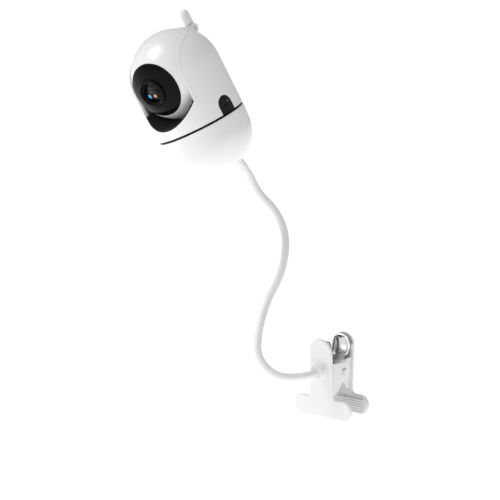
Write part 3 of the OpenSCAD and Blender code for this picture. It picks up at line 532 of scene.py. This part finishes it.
def make_eye():
    """The two halves of the eyeball, split by a plane behind the middle."""
    edge = math.sqrt(EYE_R ** 2 - EYE_HALF ** 2)
    low = math.degrees(math.atan2(edge, -EYE_HALF))
    high = math.degrees(math.atan2(edge, EYE_HALF))
    wall = 1.6
    hollow = EYE_R - wall
    side_in = EYE_HALF - wall
    rim = math.sqrt(hollow ** 2 - side_in ** 2)
    outer = [(r, x) for x, r in arc(0, 0, EYE_R, high, low, 96)]
    inner = [(r, x) for x, r in arc(0, 0, hollow, math.degrees(math.atan2(rim, -side_in)),
        math.degrees(math.atan2(rim, side_in)), 48)]
    profile = [(2.56, EYE_HALF)] + outer + [(2.56, -EYE_HALF), (2.56, -side_in)] + inner + [(2.56, side_in)]
    split = 20.0
    for name, keep in (("eye_shell", (-FACE_Y, split)), ("eye_cover", (split + 0.05, 40))):
        ball = new_object(name, lathe_ring(profile, 192), IN_EYE @ ALONG_X)
        tools = [(block(-50, 50, keep[1], 60, -50, 50), IN_EYE)]
        if name == "eye_shell":
            tools.append((block(-50, 50, -60, keep[0], -50, 50), IN_EYE))
            tools.append((rod(13.5, FACE_Y - 5, FACE_Y + 5, 96), IN_EYE @ TO_FRONT))
            for x, z, r in ((-LIGHT_X, 0, 1.9), (LIGHT_X, 0, 1.9), (SENSOR_X, SENSOR_Z, 1.5)):
                tools.append((rod(r, FACE_Y - 3, FACE_Y + 1, 32), IN_EYE @ shift(x, 0, z) @ TO_FRONT))
            # a few pin holes for the microphone, near the top
            for x, y in ((-3, -8), (0, -8), (3, -8), (-1.5, -10.4), (1.5, -10.4)):
                tools.append((rod(0.45, 25, 40, 20), IN_EYE @ shift(x, y, 0)))
        else:
            tools = [(block(-50, 50, -60, keep[0], -50, 50), IN_EYE)]
        cut(ball, *tools)
        soften(ball, 0.22, 3)
        finish_piece(ball, "eye", "camera_plastic", name)


def make_face():
    dome, rim = 44.0, 1.0
    rise = dome - math.sqrt(dome ** 2 - FACE_R ** 2)
    start = math.degrees(math.acos(11.3 / dome))
    end = math.degrees(math.acos((FACE_R - 0.35) / dome))
    top = arc(0, rim + rise - dome, dome, end, start, 40)
    profile = [(10.5, 0), (FACE_R, 0), (FACE_R, rim - 0.35)] + arc(FACE_R - 0.35, rim - 0.35, 0.35, 0, 80, 5)
    profile += top + [(10.9, top[-1][1] - 0.1), (10.5, top[-1][1] - 0.5)]
    face = new_object("face_disc", lathe_ring(profile, 192), IN_EYE @ shift(0, -FACE_Y, 0) @ TO_FRONT)
    holes = [(rod(2, -1, 0.9, 32), IN_EYE @ shift(x, -FACE_Y, 0) @ TO_FRONT) for x in (-LIGHT_X, LIGHT_X)]
    holes.append((rod(1.6, -1, 0.9, 32), AT_SENSOR))
    holes.append((lathe_ring([(1.55, 1.9), (1.75, 1.9), (1.75, 4), (1.55, 4)], 48),
        AT_SENSOR))
    cut(face, *holes)
    soften(face, 0)
    finish_piece(face, "eye", "black_gloss", "face_disc")
    window = [(0, 2.16), (0.9, 2.2), (1.5, 2.1), (1.5, 2.32), (1.1, 2.42), (0, 2.45)]
    spot = new_object("light_window", lathe(window, 40), AT_SENSOR)
    soften(spot, 0)
    finish_piece(spot, "eye", "black_gloss")


def make_lens():
    at = IN_EYE @ shift(0, -FACE_Y + 2 - LENS_LIFT, 0) @ TO_FRONT
    r = 11.5
    steps = []
    for k in range(5):
        # fine stepped rings down the inside of the bezel
        depth, width = 6.55 - 0.36 * (k + 1), 9.75 - 0.3 * k
        steps += [(width, depth + 0.36), (width, depth)]
    profile = [(8.2, 0), (r - 1, 0), (r - 1, 5.1), (r - 0.2, 5.1), (r, 5.3), (r - 0.12, 5.7)]
    profile += arc(r - 1.25, 6.1, 0.6, 10, 90, 6) + [(9.95, 6.7)] + steps + [(8.2, 4.7)]
    ring = new_object("lens_ring", lathe_ring(profile, 128), at)
    soften(ring, 0.06, 2)
    finish_piece(ring, "eye", "black_gloss", "lens_ring")
    # the domed front element
    front = arc(0, -17, 20, 90, math.degrees(math.acos(8.1 / 20)), 24)
    rear = arc(0, -19.6, 21.2, math.degrees(math.acos(8.1 / 21.2)), 90, 24)
    profile = [(0, front[0][1])] + front[1:] + rear[:-1] + [(0, rear[-1][1])]
    glass = new_object("front_glass", lathe(profile, 96), at @ shift(0, 0, 2.4))
    soften(glass, 0)
    finish_piece(glass, "eye", "lens_glass", "front_glass")
    # the barrel with baffle rings
    at_barrel = IN_EYE @ shift(0, -FACE_Y + 11, 0) @ TO_FRONT
    baffles = []
    for k in range(6):
        z = 5.2 + k * 1.0
        w = 3.3 + k * 0.62
        baffles += [(w, z + LENS_LIFT), (w + 0.5, z + 0.15 + LENS_LIFT)]
    profile = [(3.2, 0), (7, 0), (7, 8.6 + LENS_LIFT), (8.1, 8.6 + LENS_LIFT), (8.1, 11.1 + LENS_LIFT)]
    profile += [(8.0, 11.2 + LENS_LIFT), (7.1, 11.2 + LENS_LIFT)]
    profile += list(reversed(baffles)) + [(3.2, 5)]
    barrel = new_object("lens_barrel", lathe_ring(profile, 96), at_barrel)
    soften(barrel, 0)
    finish_piece(barrel, "eye", "black_matt", "lens_barrel")
    # the dark inner element right behind it, and two glowing teal and amber spots that are painted reflections of
    # the lens coating
    bulge = 0.02
    rise = [(7.4 * k / 16, 3.75 - bulge * (7.4 * k / 16) ** 2) for k in range(16, 0, -1)]
    element = new_object("inner_element", lathe([(0, 1.2), (7.4, 1.2)] + rise + [(0, 3.75)], 96), at)
    soften(element, 0)
    finish_piece(element, "eye", "black_gloss")
    for name, x, y, size in (("teal_painted_reflection", -5.3, -2.0, 1.8), ("amber_painted_reflection", 0.1, -3.0, 1.3)):
        dome = [(size * math.sin(a * math.pi / 24), 0.25 * size * math.cos(a * math.pi / 24))
            for a in range(12, -1, -1)]
        spot = new_object(name, lathe([(0, -0.2), (size, -0.2)] + dome[:-1] + [(0, 0.25 * size)], 40),
            at @ shift(x, y, 3.72 - bulge * (x * x + y * y)))
        soften(spot, 0)
        finish_piece(spot, "eye", "lens_glass", paint=name)


def make_bowl():
    outer, inner = LIP_R, LIP_R - 1.2
    profile = [(outer, 11), (outer, HEAD_R), (inner, HEAD_R)]
    z = HEAD_R - 0.6
    while z > 11.5:
        # shallow ridges that cut stray light
        profile += [(inner, z), (inner + 0.4, z - 0.35), (inner + 0.4, z - 0.9), (inner, z - 1.1)]
        z -= 1.5
    profile += [(inner, 11)]
    bowl = new_object("inner_bowl", lathe_ring(profile, 192), IN_HEAD @ TO_FRONT)
    body = rod(HEAD_R - 0.25, SHELL_Z, SHELL_Z + 30, 192)
    combine(bowl, [(body, IN_HEAD)], "INTERSECT")
    combine(bowl, [(block(-SLOT_HALF, SLOT_HALF, -HEAD_R, 0, -HEAD_R, -16), IN_HEAD)], "INTERSECT")
    ball = bmesh.new()
    bmesh.ops.create_uvsphere(ball, u_segments=192, v_segments=96, radius=EYE_R + 0.4)
    cut(bowl, (ball, IN_HEAD))
    soften(bowl, 0)
    finish_piece(bowl, "camera_top", "black_matt", "inner_bowl")


def make_antenna():
    r, z = ANT_R, ANT_Z
    foot = z + r
    sleeve = [(0, foot + 0.9), (r - 0.3, foot + 0.9), (r, foot + 1.2), (r, foot + 2.2), (r - 0.12, foot + 2.35)]
    sleeve += [(r - 0.12, foot + 2.6), (r, foot + 2.75)] + arc(0, ANT_TIP - r, r, 0, 90, 20)
    piece = new_object("antenna", lathe(sleeve[:-1] + [(0, ANT_TIP)], 72), IN_HEAD @ shift(0, ANT_Y, 0))
    tongue = rod(r - 0.1, -1.8, 1.8, 64)
    stalk = block(-1.8, 1.8, -r + 0.1, r - 0.1, z, z + r + 1.2)
    add(piece, (tongue, IN_HEAD @ shift(0, ANT_Y, z) @ ALONG_X), (stalk, IN_HEAD @ shift(0, ANT_Y, 0)))
    cut(piece, (rod(1.06, -5, 5, 32), IN_HEAD @ shift(0, ANT_Y, z) @ ALONG_X))
    soften(piece, 0.18)
    finish_piece(piece, "antenna", "antenna_plastic", "antenna")
    profile = [(0, -3.9), (0.7, -3.9), (1.0, -3.6), (1.0, 3.6), (0.7, 3.9), (0, 3.9)]
    pin = new_object("antenna_pin", lathe(profile, 40), IN_HEAD @ shift(0, ANT_Y, z) @ ALONG_X)
    soften(pin, 0)
    finish_piece(pin, "camera_top", "motor_steel", "antenna_pin")


def make_bay():
    """The black plug in the arch, with its card slot and reset hole."""
    at_reset = IN_BAY @ shift(0, 4, -33.5) @ ALONG_X
    top = SHELL_Z + 13.4
    outline = [(7, SHELL_Z + 0.2)] + arc(0, top - 7, 7, 0, 180, 48) + [(-7, SHELL_Z + 0.2)]
    plug = new_object("card_bay", slab(outline, 15), ACROSS_BAY)
    ring = lathe_ring([(HEAD_R - 2.7, -50), (HEAD_R - 0.5, -50), (HEAD_R - 0.5, -20), (HEAD_R - 2.7, -20)], 192)
    combine(plug, [(ring, IN_HEAD)], "INTERSECT")
    cut(plug, (block(25, 40, -5.2, 1.8, -35.6, -34.7), IN_BAY),
        (rod(1.3, 25, 40, 32), at_reset))
    soften(plug, 0.18)
    finish_piece(plug, "camera_top", "black_matt", "card_bay")
    button = new_object("reset_button", lathe([(0, 31), (1, 31), (1, 34.35), (0.75, 34.6), (0, 34.6)], 32),
        at_reset)
    soften(button, 0)
    finish_piece(button, "reset", "inner_plastic", "reset_button")


def rounded_box(w, h, r, steps=8):
    points = []
    for cx, cy, a in ((w - r, h - r, 0), (r - w, h - r, 90), (r - w, r - h, 180), (w - r, r - h, 270)):
        points += arc(cx, cy, r, a, a + 90, steps)
    return points


def make_inlet():
    at = IN_HEAD @ shift(0, 27, -62) @ rot("X", -90)
    shell = new_object("power_inlet", slab(rounded_box(3.9, 1.4, 1.2), 6.2), at)
    cut(shell, (slab(rounded_box(3.5, 1.0, 0.9), 8), at @ shift(0, 0, 1)))
    add(shell, (block(-2.4, 2.4, -0.3, 0.3, 0.8, 5.2), at))
    soften(shell, 0.08, 2)
    finish_piece(shell, "camera_base", "aluminium", "power_inlet")


def make_collar():
    end = NECK_R + 0.5
    profile = [(NECK_R + 0.06, 0), (4.6, 0), (4.9, 0.3), (4.9, 2.7), (4.75, 3.1), (4.45, 3.3)]
    profile += [(4.4 + (end - 4.4) * t ** 0.8, 3.3 + 8.7 * t) for t in (0.1, 0.25, 0.4, 0.6, 0.8, 0.95)]
    profile += [(end, COLLAR), (end, COLLAR + 0.35), (end - 0.2, COLLAR + 0.6), (NECK_R + 0.06, COLLAR + 0.6)]
    collar = new_object("neck_collar", lathe_ring(profile, 72), IN_SOCKET)
    soften(collar, 0.05, 2)
    finish_piece(collar, "camera_base", "neck_rubber", "neck_collar")


# ------------------------------------------------------------------ the neck

def neck_points(step=1.2):
    """The neck's middle line as matrices, with the length so far, and the joints' places on it."""
    at = IN_FRONT_JAW @ shift(0, -PLATE_BACK - BOSS_LENGTH, BOSS_RISE) @ FORWARD
    places, marks, run = [(at @ shift(0, 0, -4.9), -4.9)], [], 0.0
    for length, angle, turn in BENDS:
        marks.append(run)
        radius = length / math.radians(angle)
        count = max(int(length / step), 4)
        for k in range(count):
            a = math.radians(angle) * k / count
            places.append((at @ rot("Z", turn) @ shift(radius * (1 - math.cos(a)), 0, radius * math.sin(a))
                @ rot("Y", math.degrees(a)), run + length * k / count))
        a = math.radians(angle)
        at = at @ rot("Z", turn) @ shift(radius * (1 - math.cos(a)), 0, radius * math.sin(a)) @ rot("Y", angle)
        run += length
    marks.append(run)
    places.append((at, run))
    places.append((at @ shift(0, 0, 2.7), run + 2.7))
    line = [m.to_translation() for m, s in places]
    aim = [(m.to_3x3() @ Vector((0, 0, 1))).normalized() for m, s in places]
    return line, aim, [s for m, s in places], marks


def tube(name, line, aim, outer, inner, segments=40):
    """A hollow tube swept along points without twisting."""
    side_way = aim[0].orthogonal().normalized()
    rings = []
    bm = bmesh.new()
    for p, t in zip(line, aim):
        side_way = (side_way - t * side_way.dot(t)).normalized()
        other = t.cross(side_way)
        ring = []
        for radius in (outer, inner):
            ring.append([bm.verts.new(p + (side_way * math.cos(2 * math.pi * k / segments)
                + other * math.sin(2 * math.pi * k / segments)) * radius) for k in range(segments)])
        rings.append(ring)
    for (ao, ai), (bo, bi) in zip(rings, rings[1:]):
        for k in range(segments):
            n = (k + 1) % segments
            bm.faces.new((ao[k], ao[n], bo[n], bo[k]))
            bm.faces.new((ai[n], ai[k], bi[k], bi[n]))
    for (o, i), flip in ((rings[0], True), (rings[-1], False)):
        for k in range(segments):
            n = (k + 1) % segments
            bm.faces.new((o[n], o[k], i[k], i[n]) if flip else (o[k], o[n], i[n], i[k]))
    bmesh.ops.recalc_face_normals(bm, faces=bm.faces)
    return new_object(name, bm, Matrix.Identity(4))


def make_neck():
    line, aim, run, marks = neck_points()
    joints = [marks[2], marks[4], marks[5]]
    limits = [-10, (joints[0] + joints[1]) / 2, (joints[1] + joints[2]) / 2, 999]
    replaced = [("neck_sleeve_1", "neck_sleeve_2"), ("neck_sleeve_3",), ("neck_sleeve_4",)]
    cuts = [min(range(len(run)), key=lambda i: abs(run[i] - w)) for w in limits]
    for k in range(3):
        a, b = cuts[k], cuts[k + 1] + 1
        piece = tube("neck_skin_%d" % (k + 1), line[a:b], aim[a:b], NECK_R * MM, 1.66 * MM)
        soften(piece, 0)
        finish_piece(piece, None, "neck_rubber", *replaced[k])
        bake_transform(piece)


# ----------------------------------------------------------------- the clamp

FINGER_R = 10.2
FINGER_TOP = 17.8
STEM = 11.4
BAR_R = 8.0
EAR_R = 7.2
EAR_RISE = 9.4                                    # above the pin, at the plate
EAR_DROP = 16.2                                   # below the pin, clear of the rail
BAR_HALF = 27.0
BAR_Z = -(PIN_HEIGHT - PLATE / 2)
ON_PLATE = shift(0, -PLATE_FACE, 0) @ FORWARD     # drawn in X and Z, raised away from the rail


def jaw_outline(inset=0.0):
    """The T-shaped plate with its round finger end and filleted inner corners."""
    fillet = 3.0 + inset
    bar_top = BAR_Z + BAR_R - inset
    stem = STEM - 0.29 - inset
    half = [(0, BAR_Z - BAR_R + inset)]
    half += arc(BAR_HALF - BAR_R, BAR_Z, BAR_R - inset, -90, 90, 24)
    half += arc(stem + fillet, bar_top + fillet, fillet, -90, -180, 12)
    half += arc(0, FINGER_TOP, FINGER_R - inset, 0, 90, 32)
    return half + [(-x, y) for x, y in reversed(half[1:-1])]


def make_jaw(name, matrix, ear_in, ear_out, reach, hole):
    jaw = new_object(name, slab(jaw_outline(), PLATE), matrix @ ON_PLATE)
    soften(jaw, 1.15, 5, 50)
    ear_parts = []
    for sign in (-1, 1):
        x = sign * (ear_in + ear_out) / 2 - (ear_out - ear_in) / 2
        place = matrix @ shift(x, 0, 0) @ rot("Y", 90) @ rot("Z", 90)
        outline = [(-PLATE_FACE - 0.8, EAR_RISE), (-PLATE_FACE - 0.8, -reach)]
        outline += [(-PLATE_FACE + 1.2, -reach), (0, -EAR_R)] + arc(0, 0, EAR_R, -90, 90, 32)[1:]
        ear = new_object("ear", slab(outline, ear_out - ear_in), place)
        cut(ear, (rod(7.5, -1, 4, 96), place @ shift(1, -15.5, 0)),
            (rod(hole, -1, 4, 48), place))
        soften(ear, 0.45, 3)
        ear_parts.append(ear)
    for ear in ear_parts:
        m = jaw.modifiers.new("ear", "BOOLEAN")
        m.object = ear
        m.operation = "UNION"
        m.solver = "EXACT"
        apply_all(jaw)
        bpy.data.objects.remove(ear)
    return jaw


def make_clamp():
    boss_end = BOSS_LENGTH
    jaw = make_jaw("front_jaw", IN_FRONT_JAW, 9.4, 11.4, EAR_DROP, 1.5)
    place = IN_FRONT_JAW @ shift(0, -PLATE_BACK, BOSS_RISE) @ FORWARD
    flare = [(4.21, -PLATE + 0.05), (5, -PLATE + 0.05), (7.4, -0.4), (7.0, 0.12), (6.45, 0.6)]
    flare += [(6.1, 1.4), (5.9, 2.6), (5.75, 4.4)]
    flare += arc(4.75, boss_end - 1.0, 1.0, 10, 90, 8) + [(4.21, boss_end)]
    boss = lathe_ring(flare, 96)
    add(jaw, (boss, place))
    cut(jaw, (rod(4.2, -PLATE - 1, boss_end + 1, 72), place),
        (rod(1.2, 0, 9, 24), IN_FRONT_JAW @ shift(0, -PLATE_BACK - BOSS_LENGTH / 2, BOSS_RISE) @ rot("X", 180)))
    soften(jaw, 0)
    finish_piece(jaw, "clamp_front", "clamp_plastic", "front_jaw")
    profile = [(0, -PLATE), (3.9, -PLATE), (4.2, -PLATE + 0.3), (4.2, boss_end - 0.35), (3.95, boss_end)]
    profile += [(3.3, boss_end), (3.11, boss_end - 0.2), (3.11, boss_end - 5), (0, boss_end - 5)]
    ferrule = new_object("neck_ferrule", lathe(profile, 72), place)
    soften(ferrule, 0)
    finish_piece(ferrule, "clamp_front", "neck_rubber", "neck_ferrule")

    jaw = make_jaw("rear_jaw", IN_REAR_JAW, 7.3, 9.1, EAR_DROP, 1.56)
    add(jaw, (rod(3.3, 0, 3, 48), IN_REAR_JAW @ shift(0, -PLATE_FACE - 0.4, 2) @ rot("X", -90)))
    soften(jaw, 0)
    finish_piece(jaw, "clamp_rear", "clamp_plastic", "rear_jaw")

    for name, jaw_at, body, y0 in (("front_pad", IN_FRONT_JAW, "clamp_front", -6),
            ("rear_pad", IN_REAR_JAW, "clamp_rear", RAIL)):
        pad = new_object(name, block(-23, 23, y0, y0 + 6, -5.5, 5.5), MILLI)
        tools = [(block(-60, 60, -PLATE_FACE - 20, -PLATE_FACE, -60, 20), jaw_at)]
        face = 0 if y0 < 0 else RAIL
        for k in range(5):
            z = -4 + 2 * k
            tools.append((rod(0.5, -24, 24, 16), MILLI @ shift(0, face, z) @ ALONG_X))
        cut(pad, *tools)
        soften(pad, 0.2, 2)
        finish_piece(pad, body, "pad_rubber", name)

    # the polished finger plate
    rise, dish = 2.6, 24.0
    at = IN_REAR_JAW @ shift(0, -PLATE_FACE, 0) @ rot("X", -90) @ Matrix.Diagonal((1, -1, 1, 1))
    plate = new_object("rear_finger_plate", slab(arc(0, FINGER_TOP, FINGER_R - 0.2, 0, 357, 119), rise), at)
    for sign in (-1, 1):
        leg = slab([(sign * 3.7, 14.2), (sign * 8.2, 14.2), (sign * 6.3, 5.5), (sign * 3.9, 5.5)], rise - 0.6)
        add(plate, (leg, at))
    ball = bmesh.new()
    bmesh.ops.create_uvsphere(ball, u_segments=160, v_segments=80, radius=dish)
    cut(plate, (rod(3.6, -1, 5, 64), at @ shift(0, 8.6, 0)), (ball, at @ shift(0, 17, dish + 1.3)))
    soften(plate, 0.4, 4, 40)
    finish_piece(plate, "clamp_rear", "polished_steel", "rear_finger_plate")

    # the pin, with domed heads
    reach = 11.45
    cap = [(2.5, reach), (2.5, reach + 0.35), (2.3, reach + 0.75), (1.8, reach + 1.0)]
    cap += [(1.0, reach + 1.1), (0, reach + 1.1)]
    half = [(1.5, reach)] + cap
    profile = [(r, -z) for r, z in reversed(half)] + half
    pin = new_object("clamp_pin", lathe(profile, 64), AT_PIN @ ALONG_X)
    soften(pin, 0)
    finish_piece(pin, "clamp_front", "motor_steel", "clamp_pin")
    make_spring()


def make_spring():
    """One wire: a leg down from its hook, seven and a half coils, and the other leg up."""
    wire, coil, turns, half = 0.62, 3.4, 7.5, 4.76
    top, leg_y = 24.5, PLATE_FACE - 4.2
    hook, bend = 6.5, 1.3

    def leg(sign):
        # sign +1 is the rear leg; drawn from the hook's end down to the coil
        tilt = rot("X", -sign * JAW_LEAN)
        points = [(-sign * (half - hook), sign * leg_y, top)]
        points += [(-sign * (half - bend * (1 - math.cos(a))), sign * leg_y, top - bend * (1 - math.sin(a)))
            for a in [math.radians(90 - 15 * k) for k in range(7)]]
        points += [(-sign * half, sign * (coil + (leg_y - coil) * t), top * t) for t in (0.8, 0.6, 0.4, 0.2, 0.08)]
        return [tilt @ Vector(p) for p in points]

    path = leg(1)
    count = int(turns * 32)
    for k in range(count + 1):
        a = -2 * math.pi * turns * k / count
        path.append(Vector((-half + 2 * half * k / count, coil * math.cos(a), coil * math.sin(a))))
    path += list(reversed(leg(-1)))
    path = [AT_PIN @ p for p in path]
    last = len(path) - 1
    aim = [(path[min(i + 1, last)] - path[max(i - 1, 0)]).normalized() for i in range(last + 1)]
    spring = tube("clamp_spring", path, aim, wire * MM, 0.1 * MM, 14)
    soften(spring, 0)
    # the spring stays fixed in the shared frame, attached to no body
    finish_piece(spring, None, "dark_steel", "clamp_spring")
    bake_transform(spring)


make_outer_shell()
make_cup()
make_seam_ring()
make_eye()
make_face()
make_lens()
make_bowl()
make_antenna()
make_bay()
make_inlet()
make_collar()
make_neck()
make_clamp()


# ---------------------------------------------------------------- the stage

def paint_cad_nodes():
    """Gives each carried-over node the material that its slot names."""
    for name, obj in frame["nodes"].items():
        slot_name = next(s["material_slot"] for s in frame["record"]["subparts"] if s["node"] == name)
        obj.data.materials.clear()
        obj.data.materials.append(MATS[slot_name])


paint_cad_nodes()

DISTANCE = 1.3                                    # metres from the clamp to the camera
azimuth, elevation = math.radians(38), math.radians(11)
side = Vector((math.cos(azimuth), math.sin(azimuth), 0))
toward = Vector((math.sin(azimuth) * math.cos(elevation), -math.cos(azimuth) * math.cos(elevation),
    math.sin(elevation)))
above = toward.cross(side)
camera_data = bpy.data.cameras.new("camera")
camera_data.lens = 120
camera_data.sensor_width = 36
camera = bpy.data.objects.new("camera", camera_data)
bpy.context.collection.objects.link(camera)
eye_at = PIN + Vector((11.5, 0, 0)) * MM - side * 73.5 * MM + above * 94.5 * MM + toward * DISTANCE
camera.matrix_world = Matrix((
    (side.x, above.x, toward.x, eye_at.x),
    (side.y, above.y, toward.y, eye_at.y),
    (side.z, above.z, toward.z, eye_at.z),
    (0, 0, 0, 1)))
camera_data.clip_end = 50
bpy.context.scene.camera = camera

floor_bm = bmesh.new()
bmesh.ops.create_grid(floor_bm, x_segments=4, y_segments=4, size=12)
floor = new_object("floor", floor_bm, Matrix.Translation((0, 0, cad_box[0][2] - 0.09)))
floor.data.materials.append(material("floor", (0.85, 0.85, 0.85), 0.8, bump=0, grain=10, broad=2, glow=0.74))


def softbox(name, place, target, size, power):
    """A rectangular light, sizes in metres, aimed at a point."""
    light = bpy.data.lights.new(name, "AREA")
    light.shape = "RECTANGLE"
    light.size, light.size_y = size
    light.energy = power
    obj = bpy.data.objects.new(name, light)
    bpy.context.collection.objects.link(obj)
    obj.location = place
    obj.rotation_euler = (Vector(target) - Vector(place)).to_track_quat("-Z", "Y").to_euler()


head_place = tuple(centre)
softbox("key", (-1.05, -1.05, 1.7), head_place, (0.9, 0.9), 19)
softbox("edge", (0.3, 0.02, 0.06), tuple(PIN), (0.1, 0.16), 0.06)
# a weak low light from the front, below the black face
face_at = HEAD @ Vector((0, -FACE_Y * MM, 0))
low_front = Vector((-0.569, -0.604, -0.558))
softbox("card", tuple(face_at + low_front * 0.42), tuple(face_at), (0.2, 0.13), 0.1)
world = bpy.data.worlds.new("world")
world.use_nodes = True
world.node_tree.nodes["Background"].inputs["Color"].default_value = (1, 1, 1, 1)
world.node_tree.nodes["Background"].inputs["Strength"].default_value = 0.46
bpy.context.scene.world = world
bpy.context.scene.view_settings.view_transform = "Standard"
